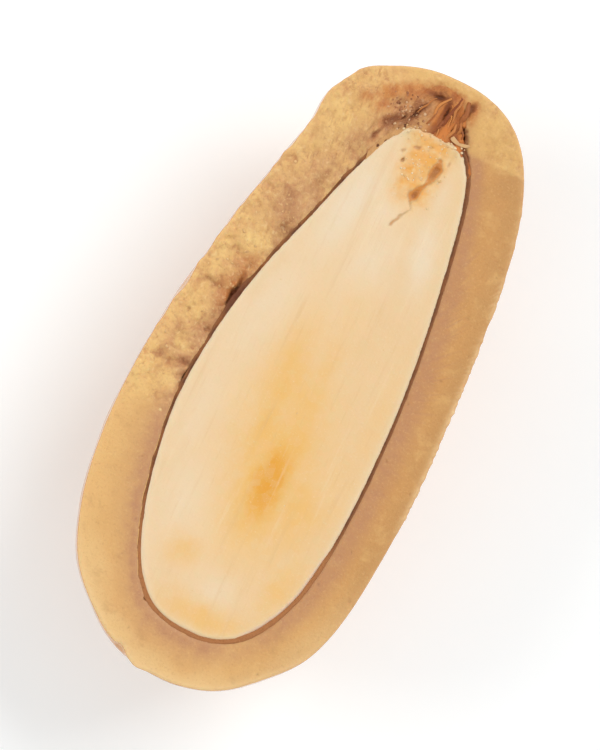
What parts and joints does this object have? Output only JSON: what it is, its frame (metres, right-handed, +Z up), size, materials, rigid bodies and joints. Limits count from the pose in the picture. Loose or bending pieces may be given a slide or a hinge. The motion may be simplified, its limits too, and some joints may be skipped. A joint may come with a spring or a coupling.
{
  "type": "chocolate-covered almond half",
  "caption": "Half of a coated almond, cut lengthwise: a thick glossy caramel-coloured coating round a pale kernel in its brown skin, lying cut face up on a small flat spot.",
  "frame": {"origin": "under the middle of the part's box, on the small flat spot on its round back that it rests on", "axes": "+X across the cut face, +Y along the almond towards its narrower tip end, +Z up, out of the cut face"},
  "size_m": [0.0134, 0.0287, 0.0084],
  "materials": {
    "coating": "caramel-coloured chocolate: glossy and slightly uneven outside, matte and faintly crumbly where cut",
    "skin": "dry brown nut skin, fibrous where torn",
    "kernel": "cut nut flesh, ivory at the edge and warm yellow in the middle, satin"
  },
  "bodies": {
    "root": {"coating": "coating", "almond_skin": "skin", "almond_kernel": "kernel"}
  },
  "joints": []
}
